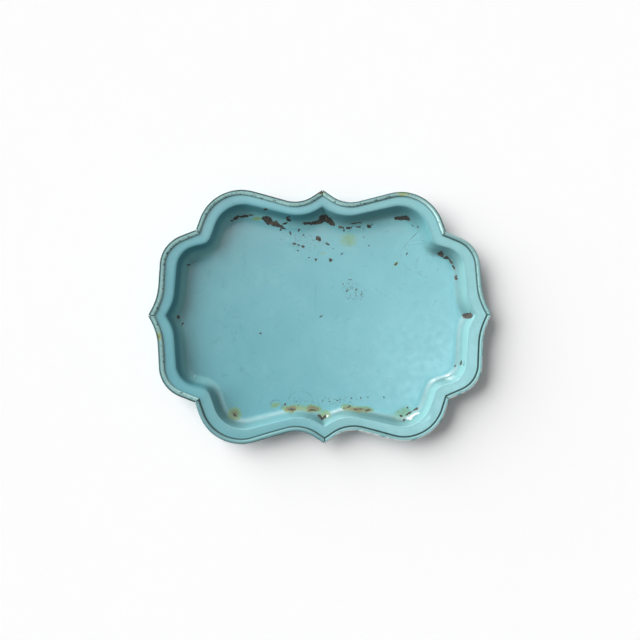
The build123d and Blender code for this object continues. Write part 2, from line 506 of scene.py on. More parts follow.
def add_hem(rows):
    """From the flange in round the wire, over the raw edge, and back round on the outside."""
    for depth, height in reversed(fold_face(SHEET)[:-1]):
        rows.add(outer_line + across * depth[:, None], height, crease=1.0)
    dented = np.maximum(TOP_DENTS * (1 + ripple(outer_line, TOP_WAVE)), 0)
    crease_dirt_and_shade = per_scallop(CREASE_DIRT_AND_SHADE) ** 2
    crease_start = CREASE_START + CREASE_SPREAD * crease_dirt_and_shade
    for depth, height in fold_face(0.0):
        from_edge = hem_width - depth
        raised = smoothstep(FOLD_HEIGHT, HEM_TOP, height)
        on_top = raised * smoothstep(*TOP_MARK, from_edge)
        crown = CROWN * (2 * depth / hem_width - 1) ** 2
        lowered = height - raised * crown - on_top * (PLEAT_DEPTH * pleat + dented)
        above = smoothstep(FOLD_HEIGHT - HEM_ABOVE, FOLD_HEIGHT, height)
        thin = above * smoothstep(*BEAD_MARK, depth) * smoothstep(*BEAD_INNER_MARK, from_edge)
        outer_side = smoothstep(*OUTER_MARK, depth) * per_scallop(OUTER_SHADE_AND_DIRT)
        whole_top = smoothstep(*BAND_MARK, from_edge) * per_scallop(BAND_SHADE_AND_DIRT)
        # The bead's paleness is partly painted light, the edge mark a painted highlight, and the
        # crease and outer marks dirt and painted shade.
        rows.add(
            outer_line + across * depth[:, None],
            lowered,
            bead=thin * (1 + smoothstep(*CHALK_MARK, from_edge)) * per_scallop(HEM_CHALK_AND_LIGHT),
            edge=above * smoothstep(*EDGE_MARK, depth) * per_scallop(EDGE_HIGHLIGHT),
            crease=smoothstep(crease_start, CREASE_FULL, from_edge) * crease_dirt_and_shade,
            outer=above * np.maximum(outer_side, whole_top),
            under=1 - above,
        )


def pan_rows():
    """All rows, from the floor's edge on top, out over the rim, to the floor's edge underneath."""
    rows = Rows()
    add_well_side(rows, lower_side=False)
    add_flange_top(rows)
    hem_from = len(rows.points) - 1
    add_hem(rows)
    hem_to = len(rows.points) - 1
    add_flange_under(rows)
    add_well_side(rows, lower_side=True)
    return rows, hem_from, hem_to


# ==== meshes ====
def ring_faces(count, rows, hem_from, hem_to):
    """Quads between the rows. The hem is slit after the last station of every scallop."""
    ends = set((np.cumsum(SCALLOP_COUNTS) - 1).tolist())
    faces = []
    for row in range(rows - 1):
        in_hem = hem_from <= row < hem_to
        for here in range(count):
            if in_hem and here in ends:
                continue
            there = (here + 1) % count
            below, above = row * count, (row + 1) * count
            faces.append((below + here, below + there, above + there, above + here))
    section = [row * count for row in range(hem_from, hem_to + 1)]
    low, high = section[0], section[-1]
    for here in ends:
        there = (here + 1) % count
        faces.append((low + here, low + there, high + there, high + here))
        faces.append(tuple(base + here for base in reversed(section)))
        faces.append(tuple(base + there for base in section))
    return faces


def fill_floor(vertices, faces, edge, upward):
    """Rings that shrink towards the middle of the floor, with fewer points as they shrink."""
    outer = list(edge)
    rim = np.array([vertices[i] for i in outer])
    keep = np.arange(len(outer))
    new = []
    for share, halve in FLOOR_RINGS:
        if halve:
            keep = keep[::2]
        inner = list(range(len(vertices), len(vertices) + len(keep)))
        vertices.extend((rim[keep] * (share, share, 1)).tolist())
        for k in range(len(inner)):
            p, q = inner[k], inner[(k + 1) % len(inner)]
            if halve:
                a, b, c = outer[2 * k], outer[2 * k + 1], outer[(2 * k + 2) % len(outer)]
                new += [(p, b, a), (p, q, b), (q, c, b)]
            else:
                new.append((p, q, outer[(k + 1) % len(outer)], outer[k]))
        outer = inner
    middle = len(vertices)
    vertices.append([0.0, 0.0, rim[0][2]])
    new += [(middle, outer[(k + 1) % len(outer)], outer[k]) for k in range(len(outer))]
    faces.extend(new if upward else [face[::-1] for face in new])


def pressed(points, marks):
    """The drawing's points with the unevenness of thin pressed sheet."""
    flat = points[:, :2]
    reach = np.max(np.abs(flat) / FLOOR_REACH, axis=1)
    on_floor = (points[:, 2] < FLOOR_BELOW) * smoothstep(0.0, FLOOR_MARGIN, 1 - reach)
    rise = FLOOR_RISE * (FLOOR_EVEN + (1 - FLOOR_EVEN) * ripple(flat, FLOOR_WAVE))
    rise = rise + FLOOR_DENTS * (1 + ripple(flat, DENT_WAVE))
    moved = points.copy()
    moved[:, 2] += on_floor * np.maximum(rise, 0)
    up = np.clip(points[:, 2] / FLANGE_TOP, 0, 1)
    moved[:, 2] -= up * RIM_SAG * np.maximum(1 + ripple(flat, RIM_WAVE), 0)
    moved[:, 2] -= marks[:, Rows.MARKS.index("shoulder")] * FLANGE_DIP
    return moved


def make_pan():
    rows, hem_from, hem_to = pan_rows()
    count = len(outer_line)
    vertices = np.concatenate(rows.points).tolist()
    marks = np.concatenate(rows.marks)
    faces = ring_faces(count, len(rows.points), hem_from, hem_to)
    in_rows = len(vertices)
    fill_floor(vertices, faces, range(count), upward=True)
    with_top = len(vertices)
    fill_floor(vertices, faces, range(in_rows - count, in_rows), upward=False)
    floor_marks = np.zeros((len(vertices) - in_rows, marks.shape[1]))
    floor_marks[with_top - in_rows:, Rows.MARKS.index("under")] = 1.0
    marks = np.concatenate([marks, floor_marks])
    points = pressed(np.array(vertices), marks) * MM
    points = np.clip(points, np.array(cad_box[0]), np.array(cad_box[1]))

    mesh = bpy.data.meshes.new("painted_pan")
    mesh.from_pydata(points.tolist(), [], faces)
    for name, column in zip(Rows.MARKS, marks.T):
        attribute = mesh.attributes.new(name, "FLOAT", "POINT")
        attribute.data.foreach_set("value", np.ascontiguousarray(column, dtype=np.float32))
    mesh.shade_smooth()
    mesh.set_sharp_from_angle(angle=SHARP_ANGLE)
    pan = bpy.data.objects.new("painted_pan", mesh)
    bpy.context.scene.collection.objects.link(pan)
    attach(pan, "root")
    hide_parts("tray_pan")
    return pan


# ==== materials ====
class Shader:
    """A material's node tree, with short names for the nodes used here."""

    def __init__(self, name):
        self.material = bpy.data.materials.new(name)
        self.material.use_nodes = True
        self.tree = self.material.node_tree
        self.tree.nodes.clear()
        output = self.node("ShaderNodeOutputMaterial")
        self.surface = self.node("ShaderNodeBsdfPrincipled")
        self.join(self.surface.outputs["BSDF"], output.inputs["Surface"])
        coordinates = self.node("ShaderNodeTexCoord")
        scale = self.node("ShaderNodeVectorMath", operation="SCALE")
        scale.inputs["Scale"].default_value = 1 / MM
        self.join(coordinates.outputs["Object"], scale.inputs[0])
        self.place = scale.outputs["Vector"]  # millimetres, in the tray's frame

    def node(self, kind, **settings):
        made = self.tree.nodes.new(kind)
        for name, value in settings.items():
            setattr(made, name, value)
        return made

    def join(self, source, target):
        if isinstance(source, bpy.types.NodeSocket):
            self.tree.links.new(source, target)
        else:
            target.default_value = source

    def surface_input(self, name, value):
        self.join(value, self.surface.inputs[name])

    def math(self, operation, *values, clamp=False):
        made = self.node("ShaderNodeMath", operation=operation, use_clamp=clamp)
        for value, socket in zip(values, made.inputs):
            self.join(value, socket)
        return made.outputs[0]

    def total(self, *values):
        result = values[0]
        for value in values[1:]:
            result = self.math("ADD", result, value)
        return result

    def times(self, *values, clamp=False):
        """The values' product. Only the last step is clamped."""
        result = values[0]
        for value in values[1:-1]:
            result = self.math("MULTIPLY", result, value)
        return self.math("MULTIPLY", result, values[-1], clamp=clamp)

    def rest(self, value):
        """What is left of 1."""
        return self.math("SUBTRACT", 1.0, value, clamp=True)

    def largest(self, *values):
        result = values[0]
        for value in values[1:]:
            result = self.math("MAXIMUM", result, value)
        return result

    def push(self, noise, reach):
        """Up to half of reach either way, for the edge of a mark."""
        return self.math("MULTIPLY_ADD", noise, reach, -reach / 2)

    def noise_node(self, size, detail):
        made = self.node("ShaderNodeTexNoise")
        self.join(self.place, made.inputs["Vector"])
        made.inputs["Scale"].default_value = 1 / size
        made.inputs["Detail"].default_value = detail
        return made

    def noise(self, size, detail, roughness=0.5, distortion=0.0):
        """Noise with features about size mm across, from 0 to 1."""
        made = self.noise_node(size, detail)
        made.inputs["Roughness"].default_value = roughness
        made.inputs["Distortion"].default_value = distortion
        return made.outputs["Fac"]

    def ramp(self, value, low, high):
        """0 below low, 1 above high, and smooth between."""
        made = self.node("ShaderNodeMapRange", interpolation_type="SMOOTHSTEP")
        self.join(value, made.inputs["Value"])
        made.inputs["From Min"].default_value = low
        made.inputs["From Max"].default_value = high
        return made.outputs["Result"]

    def layer(self, value, low, high, share):
        """A ramp that reaches no further than share."""
        return self.times(self.ramp(value, low, high), share)

    def between(self, amount, first, second):
        """Mix two numbers."""
        made = self.node("ShaderNodeMix", data_type="FLOAT")
        self.join(amount, made.inputs[0])
        self.join(first, made.inputs[2])
        self.join(second, made.inputs[3])
        return made.outputs[0]

    def tint(self, amount, first, second, blend="MIX"):
        """Mix two colours."""
        made = self.node("ShaderNodeMix", data_type="RGBA", blend_type=blend)
        self.join(amount, made.inputs[0])
        self.join(first, made.inputs[6])
        self.join(second, made.inputs[7])
        return made.outputs[2]

    def attribute(self, name):
        return self.node("ShaderNodeAttribute", attribute_name=name).outputs["Fac"]

    def vector(self, operation, first, second):
        """Vector maths. The result is a number for a dot product, and a vector otherwise."""
        made = self.node("ShaderNodeVectorMath", operation=operation)
        self.join(first, made.inputs[0])
        self.join(second, made.inputs[1])
        return made.outputs["Value" if operation == "DOT_PRODUCT" else "Vector"]

    def spots(self, marks, place):
        """How deep inside the nearest of some ellipses a place is, and 0 outside them all."""
        deepest = 0.0
        for x, y, half_length, half_width, angle, strength in marks:
            heading = math.radians(angle)
            offset = self.vector("SUBTRACT", place, (x, y, 0))
            along = (math.cos(heading) / half_length, math.sin(heading) / half_length, 0)
            aside = (-math.sin(heading) / half_width, math.cos(heading) / half_width, 0)
            run = self.vector("DOT_PRODUCT", offset, along)
            rise = self.vector("DOT_PRODUCT", offset, aside)
            square = self.math("MULTIPLY_ADD", run, run, self.times(rise, rise))
            depth = self.math("MULTIPLY_ADD", square, -strength, strength)
            deepest = self.math("MAXIMUM", depth, deepest)
        return deepest

    def wander(self, place, size, amount):
        """Places pushed about by noise, for marks with an uneven outline."""
        made = self.noise_node(size, detail=3)
        push = self.vector("SUBTRACT", made.outputs["Color"], (0.5, 0.5, 0.5))
        push = self.vector("MULTIPLY", push, (2 * amount, 2 * amount, 0))
        return self.vector("ADD", place, push)

    def relief(self, height):
        """Bump from a height in millimetres."""
        bump = self.node("ShaderNodeBump")
        bump.inputs["Strength"].default_value = 1.0
        bump.inputs["Distance"].default_value = MM
        self.join(height, bump.inputs["Height"])
        self.surface_input("Normal", bump.outputs["Normal"])


def colour(red, green, blue):
    return (red, green, blue, 1.0)


# Wear, seen from above with the back cusp at the top. Each mark is an ellipse: its middle's x and y,
# half its length, half its width (mm), the angle of its length (degrees) and how strong it is.
CHIPS = [
    # foot of the back wall, from left to right
    (-94, 122, 8, 1.7, 6, 1.0),
    (-104, 120, 5, 2.4, 35, 0.9),
    (-109, 116, 2.4, 1.4, 20, 1.0),
    (-86, 123, 3.0, 1.2, 0, 0.9),
    (-66, 117, 8.5, 4.8, -25, 1.5),
    (-57, 113, 7, 3.6, -20, 1.3),
    (-50, 110, 8, 2.0, -30, 1.0),
    (-45, 113, 4, 1.6, 25, 0.9),
    (-50, 106, 1.6, 2.6, 0, 0.8),
    (-40, 117, 4, 1.8, -15, 1.2),
    (-16, 113.5, 10, 2.0, 2, 1.1),
    (-3, 116, 14, 3.4, 14, 1.5),
    (2, 119, 6.5, 4.4, 0, 1.5),
    (9, 116, 10, 3.4, -26, 1.5),
    (-68, 126, 3, 1.0, 0, 0.8),
    (43, 114, 8, 1.0, 3, 1.2),
    (24, 109, 4, 1.5, 0, 1.0),
    (27, 106, 1.2, 3.2, 10, 1.0),
    (34, 109, 5, 1.6, 0, 0.85),
    (45, 109, 4, 1.1, 0, 0.9),
    (58, 110, 2.2, 2.8, 40, 1.3),
    (61, 112, 3, 0.9, 20, 1.0),
    (98, 121, 11, 3.0, 3, 1.3),
    (104, 121, 6, 3.0, -20, 1.3),
    (113, 112, 2.5, 0.9, -20, 1.0),
    (119, 110, 2.0, 0.9, -40, 0.9),
    # back half of the floor
    (-38, 102, 1.3, 3.0, 15, 0.9),
    (-28, 105, 2.8, 1.3, 60, 0.9),
    (-23, 99, 1.2, 1.2, 0, 1.0),
    (-5, 95, 2.2, 2.6, 30, 1.4),
    (-2.5, 93.5, 2.4, 3.0, -20, 1.4),
    (7, 88, 2.6, 1.3, -30, 1.2),
    (-34, 88, 2.4, 2.0, 0, 0.8),
    (-28, 87, 2.0, 0.9, -30, 0.9),
    (-23, 85, 2.8, 1.9, -20, 1.1),
    (-29, 80, 1.4, 1.2, 0, 1.1),
    (-16, 71, 1.1, 1.1, 0, 0.9),
    (-7, 69, 1.8, 2.0, 0, 1.2),
    (10, 68, 2.0, 2.4, 0, 1.2),
    (25, 76, 2.0, 0.7, 10, 0.8),
    (14, 82, 1.2, 0.8, 0, 0.9),
    (52, 97, 1.1, 0.8, 0, 0.9),
    (58, 86, 1.1, 0.8, 0, 0.9),
    (91, 64, 3.2, 1.1, 28, 1.2),
    (105, 77, 2.0, 0.9, 30, 0.8),
    (34, 44, 3.2, 0.8, 0, 0.9),
    (26, 39, 1.4, 1.0, 30, 1.0),
    (30, 31, 1.2, 1.4, 0, 1.0),
    (37, 34, 1.5, 0.9, 0, 1.0),
    (42, 32, 1.1, 1.2, 0, 1.0),
    (48, 26, 1.3, 0.9, 40, 1.0),
    (-2, 0, 3.0, 1.2, 35, 1.1),
    (-75, -20, 1.7, 1.4, 0, 1.2),
    # right end
    (147, 76, 4.5, 3.0, -20, 1.3),
    (154, 71.5, 4.5, 1.6, -20, 1.1),
    (159, 67, 4.2, 1.6, -50, 1.2),
    (163, 60, 4.2, 1.5, -70, 1.1),
    (166, 47, 1.7, 3.8, 0, 1.2),
    (177, 0, 5.5, 4.2, 0, 1.6),
    (168, -58, 1.6, 3.2, -10, 1.1),
    (163, -62, 2.2, 1.2, 40, 0.9),
    # left end
    (-172, 0, 2.2, 1.9, 0, 1.1),
    (-166, -9, 2.4, 1.3, 70, 1.1),
    (-160, 62, 1.9, 1.7, 0, 1.2),
    # front
    (-106, -116, 3.2, 1.5, -35, 0.8),
    (-104, -118, 3.4, 1.4, -10, 0.8),
    (-46, -105, 1.5, 2.0, 0, 1.1),
    (-37, -112, 5.0, 1.2, -4, 0.75),
    (-13, -113, 6.0, 1.4, -8, 0.8),
    (1, -121, 5.5, 2.0, 40, 1.3),
    (-3, -120, 4.5, 1.6, -40, 1.2),
    (34, -98, 1.4, 1.1, 0, 1.1),
    (46, -99, 1.8, 1.1, 0, 1.1),
    (54, -98, 1.6, 1.0, 0, 0.9),
    (74, -98, 1.1, 1.0, 0, 1.0),
    (8, -103, 1.2, 0.8, 0, 0.8),
    (17, -101, 1.8, 0.8, 20, 0.8),
    (25, -111, 2.0, 1.0, 0, 1.0),
    (31, -109, 2.0, 1.0, 20, 0.9),
    (42, -112, 9.0, 0.8, -4, 0.8),
    (54, -114, 4.0, 1.3, 0, 1.1),
    (102, -112, 1.4, 1.2, 0, 1.0),
    (94, -122, 2.4, 1.4, 0, 1.0),
    (104, -118, 7.0, 1.4, 28, 0.95),
    (113, -113, 4.5, 1.7, 34, 1.1),
    (98, -126, 2.0, 1.0, 0, 0.9),
    # on the hem
    (-3, 147, 4, 2.4, 0, 0.9),
]
# Fine dark specks, each patch with its own density.
SPECKS = [
    (38, 30, 17, 14, -30, 1.0),
    (-20, 92, 44, 16, 0, 0.35),
    (12, -102, 40, 8, 0, 0.6),
    (36, 108, 22, 8, 0, 0.6),
    (-30, -104, 20, 8, 0, 0.5),
]
# Rust that has spread in the paint.
STAINS = [
    (33, 94, 15, 13, 0, 0.62),
    (26, 99, 6, 2.0, 25, 0.5),
    (2, 77, 4, 4.0, 0, 0.5),
    (-78, 118, 8, 2.6, 0, 1.0),
    (91, 64, 4, 2.0, 28, 1.3),
    (-105, -115.5, 10, 9.5, 0, 1.25),
    (-56, -106, 8, 4.0, 10, 1.0),
    (-38, -111, 13, 5.0, 0, 1.5),
    (-12, -111, 13, 6.0, -6, 1.6),
    (-27, -110, 26, 5.0, 0, 0.9),
    (28, -110, 9, 4.6, 0, 1.2),
    (42, -112, 21, 4.6, -5, 1.4),
    (55, -114, 7, 3.4, 0, 1.5),
    (97, -118, 18, 9.0, 20, 0.6),
    (2, -118, 10, 6.0, 0, 0.9),
    (-2, 147, 8, 3.4, 0, 0.9),
    (-191, -24, 4, 6, 0, 1.2),
    (98, 147, 15, 4, 0, 0.8),
]
# Thin dark marks.
SCRATCHES = [
    # joints across the hem
    (200, 0, 4.5, 0.9, 0, 1.6),
    (-200, 0, 4.5, 0.8, 0, 0.9),
    (0, 147, 0.8, 4.0, 0, 0.9),
    (0, -147, 1.2, 4.5, 0, 1.7),
    (147, 99, 4.0, 0.8, 34, 1.2),
    (147, -99, 4.0, 0.8, -34, 1.2),
    (-147, -99, 4.0, 0.8, 34, 1.0),
    (-147, 99, 4.0, 0.9, -34, 1.7),
    # along the hem at the front right
    (126, -143, 20, 2.2, 30, 1.6),
    # over the floor
    (114, 99, 9.5, 0.7, 46, 1.3),
    (104, 88, 9, 0.6, 60, 0.5),
    (118, 89, 16, 0.6, 8, 0.5),
    (-8, 26, 0.6, 26, 0, 0.35),
    (70, 30, 22, 0.5, -35, 0.35),
    (-60, 45, 30, 0.5, 20, 0.3),
    (-110, 10, 18, 0.5, 70, 0.3),
    (20, -40, 26, 0.5, -12, 0.3),
    (110, -45, 20, 0.5, 50, 0.35),
    (-90, -70, 24, 0.5, -30, 0.3),
]
# Painted highlights, partly paint rubbed pale.
RUBS_AND_HIGHLIGHTS = [
    (110, -120.5, 8.0, 1.6, 30, 1.0),
    (104, -124, 4.5, 1.6, 10, 1.1),
    (5, -119.5, 2.4, 1.8, 50, 0.8),
    (154, -76, 9, 2.6, 20, 0.6),
    (-152, -71, 3.0, 1.0, 40, 0.7),
]
# Places on the foot of the wall that are rubbed smooth.
POLISHED = [
    (153, -76, 16, 5, 14, 1.0),
    (118, -122, 11, 7, 30, 1.0),
]
# Faint rings left by wet glasses: middle x and y, radius, and how strong each is.
RINGS = [
    (130, 62, 14.0, 0.9),
    (118, 74, 20.0, 0.5),
    (-56, -107, 7.0, 1.3),
    (-27, -106, 16.0, 0.7),
    (-34, 88, 2.4, 1.3),
    (-60, 30, 33.0, 0.2),
    (25, -50, 34.0, 0.2),
]

# Linear colours. STAIN_HALO is a factor on the paint's own.
PAINT = colour(0.125, 0.388, 0.440)
PAINT_DEEP = colour(0.110, 0.363, 0.418)
PAINT_FADED = colour(0.190, 0.460, 0.490)
PAINT_THIN = colour(0.285, 0.500, 0.485)
# painted light on the hem's top, over chalky paint
PAINT_CHALK_LIT = colour(0.470, 0.720, 0.695)
# painted light in the foot of the wall
PAINT_FOOT_LIT = colour(0.225, 0.540, 0.565)
# painted sheen over faded paint on the walls and flange
PAINT_WALL_FADED_SHEEN = colour(0.180, 0.370, 0.376)
# mottling, and painted shade on the walls
PAINT_DIM_AND_SHADE = colour(0.055, 0.175, 0.195)
# painted highlights, and paint rubbed pale
PALE_HIGHLIGHT_AND_RUB = colour(0.800, 0.860, 0.840)
METAL_DARK = colour(0.050, 0.052, 0.047)
METAL_BROWN = colour(0.125, 0.105, 0.085)
RUST = colour(0.180, 0.095, 0.045)
STAIN_HALO = colour(1.22, 0.88, 0.42)
STAIN_CORE = colour(0.165, 0.115, 0.038)
# dirt, and painted shade in the hem's crease and along its outer side
GRIME_AND_SHADE = colour(0.022, 0.055, 0.053)
WIRE_BARE = colour(0.16, 0.14, 0.13)
STAGE_PALE = colour(0.965, 0.965, 0.965)
STAGE_PALER = colour(0.975, 0.975, 0.975)

# How the layers are laid on. A RAMP is where a layer starts and where it is complete in its noise or
# mark, a SHARE is how much of it there is, and a LAYER is both.
BODY_RAMP = (0.35, 0.65)
FADED_LAYER = (0.5, 0.8, 0.4)
SMUDGE_LAYER = (0.56, 0.72, 0.16)
MOTTLE_LAYER = (0.3, 0.7, 0.10)
THIN_RAMP = (0.1, 0.6)
CHALK_RAMP = (1.0, 2.0)
# shares of painted light and painted shade on the walls
FOOT_LIGHT_SHARE = 0.9
FOOT_SHADE_SHARE = 0.6
FILM_SHADE_SHARE = 0.35
STAIN_RAMP = (0.10, 0.75)
CORE_LAYER = (0.75, 1.35, 0.8)
RING_RAMP = (0.4, 0.65)
RING_SHARE = 0.45
CREASE_RAMP = (0.0, 0.45)
DASH_RAMP = (0.56, 0.64)
DASH_SHARE = 0.45
FOOT_DIRT_RAMP = (0.45, 0.8)
FOOT_DIRT_SHARE = 0.10
EDGE_RAMP = (0.35, 0.55)
RUB_HIGHLIGHT_LAYER = (0.15, 0.8, 0.6)
SCRATCH_RAMP = (0.2, 0.6)
FLECK_RAMP = (0.56, 0.62)
PATCH_RAMP = (0.0, 0.6)  # of the patches of specks and the polished places
MARK_SHARE = 0.7  # of the scratches and specks
SCUFF_RAMP = (0.48, 0.62)
CHIP_RAMP = (0.30, 0.35)
CHIP_RIM_RAMP = (0.20, 0.31)
CHIP_RIM_SHARE = 0.45
BROWN_RAMP = (0.46, 0.66)
RUST_RAMP = (0.62, 0.74)
MATT_BEAD_SHARE = 0.8
WIRE_BROWN_RAMP = (0.4, 0.6)
WIRE_RUST_RAMP = (0.56, 0.7)
# How far noise pushes the edges of stains and chips.
STAIN_RAGGED = 0.9
CHIP_RAGGED = 1.1
# Wear that chips the paint where the noise allows it.
BEAD_WEAR = 0.05
UNDER_WEAR = 0.06
SCUFF_WEAR = 0.14
# Roughness. Specular levels are for sound and for matt paint.
GLOSS_RAMP = (0.3, 0.7)
PAINT_ROUGHNESS = (0.42, 0.50)
MATT_ROUGHNESS = 0.85
DIRT_ROUGHNESS = 0.7
POLISHED_ROUGHNESS = 0.34
METAL_ROUGHNESS = 0.75
WIRE_ROUGHNESS = (0.45, 0.8)
STAGE_ROUGHNESS = 0.9
SPECULAR = (0.5, 0.12)
WIRE_METALLIC = (0.9, 0.1)
# Relief (mm).
CHIP_DEPTH = 0.09
RUST_HEIGHT = 0.08
PAINT_WAVES = 0.05
ORANGE_PEEL = 0.006
SCRATCH_DEPTH = 0.02
WIRE_PITS = 0.05


def ring_marks(shader):
    """How strongly a place lies on one of the glass rings."""
    strongest = 0.0
    for x, y, radius, strength in RINGS:
        offset = shader.vector("SUBTRACT", shader.place, (x, y, 0))
        flat = shader.vector("MULTIPLY", offset, (1, 1, 0))
        off_centre = shader.math("SQRT", shader.vector("DOT_PRODUCT", flat, flat))
        off_line = shader.math("ABSOLUTE", shader.math("SUBTRACT", off_centre, radius))
        line = shader.math("MULTIPLY_ADD", off_line, -strength, strength)
        strongest = shader.math("MAXIMUM", line, strongest)
    return strongest


def paint_material():
    """Old turquoise paint on steel: faded, stained, chipped to the metal, dirty in its corners, with
    painted shade, painted light, painted sheen and painted highlights.
    """
    shader = Shader("turquoise_enamel")
    names = ("bead", "crease", "outer", "foot", "filmed", "faded", "edge", "under")
    bead, crease, outer, foot, filmed, faded, edge, under = map(shader.attribute, names)
    above = shader.rest(under)

    coarse = shader.noise(60, detail=3)
    blotches = shader.noise(26, detail=5, roughness=0.65)
    smudges = shader.noise(11, detail=6, roughness=0.7, distortion=0.6)
    middle = shader.noise(9, detail=4, roughness=0.6)
    rusty = shader.noise(3.5, detail=5, roughness=0.7)
    dashed = shader.noise(3.2, detail=3, roughness=0.6)
    ragged = shader.noise(2.4, detail=4, roughness=0.65)
    flecked = shader.noise(2.0, detail=3, roughness=0.6)
    peel = shader.noise(2.0, detail=1)
    mottled = shader.noise(1.6, detail=3, roughness=0.7)
    grain = shader.noise(0.5, detail=2)
    uneven = shader.wander(shader.place, 7, 3.0)
    jagged = shader.wander(uneven, 2, 1.0)

    # the paint film: deeper and more faded patches, smudges and mottling
    film = shader.tint(shader.ramp(coarse, *BODY_RAMP), PAINT_DEEP, PAINT)
    film = shader.tint(shader.layer(blotches, *FADED_LAYER), film, PAINT_FADED)
    film = shader.tint(shader.layer(smudges, *SMUDGE_LAYER), film, GRIME_AND_SHADE)
    film = shader.tint(shader.layer(mottled, *MOTTLE_LAYER), film, PAINT_DIM_AND_SHADE)
    # thin and greyish on the bead, with painted light where the hem faces the light; on the walls,
    # fade with painted sheen, painted shade and painted light
    thin_and_lit = shader.times(bead, shader.ramp(ragged, *THIN_RAMP), clamp=True)
    # painted light: the hem's top paler on the back and left, where it faces the light, on thin worn
    # paint
    film = shader.tint(thin_and_lit, film, PAINT_THIN)
    film = shader.tint(shader.ramp(bead, *CHALK_RAMP), film, PAINT_CHALK_LIT)
    # painted sheen: the right and front walls and their flange paler and greyer, partly faded paint
    film = shader.tint(faded, film, PAINT_WALL_FADED_SHEEN)
    # painted light in the foot of the left and back walls
    film = shader.tint(shader.times(filmed, foot, FOOT_LIGHT_SHARE), film, PAINT_FOOT_LIT)
    # painted shade in the foot of the right and front walls
    film = shader.tint(shader.times(faded, foot, above, FOOT_SHADE_SHARE), film, PAINT_DIM_AND_SHADE)
    # painted shade on the upper left and back walls
    film = shader.tint(shader.times(filmed, shader.rest(foot), FILM_SHADE_SHARE), film, PAINT_DIM_AND_SHADE)

    # stains and glass rings
    stain_depth = shader.times(shader.spots(STAINS, uneven), above)
    stain_field = shader.total(stain_depth, shader.push(ragged, STAIN_RAGGED))
    stain = shader.ramp(stain_field, *STAIN_RAMP)
    stained = shader.tint(stain, film, STAIN_HALO, blend="MULTIPLY")
    stained = shader.tint(shader.layer(stain_field, *CORE_LAYER), stained, STAIN_CORE)
    rings = shader.times(ring_marks(shader), shader.ramp(middle, *RING_RAMP))
    rings = shader.times(shader.largest(rings, 0.0), above, RING_SHARE, clamp=True)
    stained = shader.tint(rings, stained, GRIME_AND_SHADE)

    # dirt and painted shade in the corner of the hem and along its outer side, and dirt along the
    # foot of the wall
    in_corner = shader.times(crease, shader.ramp(ragged, *CREASE_RAMP))
    on_bead = shader.times(bead, DASH_SHARE, clamp=True)
    dashes = shader.times(shader.ramp(dashed, *DASH_RAMP), on_bead)
    at_foot = shader.times(foot, shader.ramp(middle, *FOOT_DIRT_RAMP), FOOT_DIRT_SHARE)
    dirt_and_shade = shader.largest(in_corner, outer, dashes, at_foot)
    dirty_and_shaded = shader.tint(dirt_and_shade, stained, GRIME_AND_SHADE)

    # painted highlights: a bright line along the outermost edge, and pale patches, partly rubbed
    # paint
    edge_highlight = shader.times(edge, shader.ramp(middle, *EDGE_RAMP))
    pale_and_highlit = shader.tint(edge_highlight, dirty_and_shaded, PALE_HIGHLIGHT_AND_RUB)
    rub_highlight_depth = shader.times(shader.spots(RUBS_AND_HIGHLIGHTS, uneven), above)
    pale_and_highlit = shader.tint(shader.layer(rub_highlight_depth, *RUB_HIGHLIGHT_LAYER), pale_and_highlit, PALE_HIGHLIGHT_AND_RUB)

    # scratches and fine specks
    scratch = shader.times(shader.spots(SCRATCHES, shader.place), above)
    scratch = shader.times(scratch, shader.ramp(grain, *SCRATCH_RAMP), clamp=True)
    scratched = shader.tint(shader.times(scratch, MARK_SHARE), pale_and_highlit, GRIME_AND_SHADE)
    peppered = shader.ramp(shader.spots(SPECKS, uneven), *PATCH_RAMP)
    peppered = shader.times(peppered, shader.ramp(flecked, *FLECK_RAMP), above, MARK_SHARE)
    specked = shader.tint(peppered, scratched, GRIME_AND_SHADE)

    # chips down to the metal, worn edges, and scuffs on the edge that the tray stands on
    scuffed = shader.times(under, foot, shader.ramp(coarse, *SCUFF_RAMP))
    edge_wear = shader.total(
        shader.times(bead, BEAD_WEAR),
        shader.times(under, UNDER_WEAR),
        shader.times(scuffed, SCUFF_WEAR),
    )
    placed = shader.times(shader.spots(CHIPS, jagged), above)
    field = shader.total(shader.largest(placed, edge_wear), shader.push(ragged, CHIP_RAGGED))
    chip = shader.ramp(field, *CHIP_RAMP)
    rim_of_chip = shader.math("SUBTRACT", shader.ramp(field, *CHIP_RIM_RAMP), chip, clamp=True)
    bare = shader.tint(shader.ramp(rusty, *BROWN_RAMP), METAL_DARK, METAL_BROWN)
    bare = shader.tint(shader.ramp(rusty, *RUST_RAMP), bare, RUST)
    haloed = shader.tint(shader.times(rim_of_chip, CHIP_RIM_SHARE), specked, METAL_DARK)
    finished = shader.tint(chip, haloed, bare)
    shader.surface_input("Base Color", finished)

    # gloss
    matt = shader.largest(filmed, shader.times(bead, MATT_BEAD_SHARE, clamp=True), dirt_and_shade, chip)
    shader.surface_input("Specular IOR Level", shader.between(matt, *SPECULAR))
    dull = shader.between(shader.ramp(middle, *GLOSS_RAMP), *PAINT_ROUGHNESS)
    dull = shader.between(matt, dull, MATT_ROUGHNESS)
    dull = shader.between(shader.largest(stain, dirt_and_shade), dull, DIRT_ROUGHNESS)
    polished = shader.ramp(shader.spots(POLISHED, uneven), *PATCH_RAMP)
    dull = shader.between(polished, dull, POLISHED_ROUGHNESS)
    shader.surface_input("Roughness", shader.between(chip, dull, METAL_ROUGHNESS))

    shader.relief(shader.total(
        shader.times(chip, -CHIP_DEPTH),
        shader.times(chip, rusty, RUST_HEIGHT),
        shader.times(middle, PAINT_WAVES),
        shader.times(peel, ORANGE_PEEL),
        shader.times(scratch, -SCRATCH_DEPTH),
    ))
    return shader.material


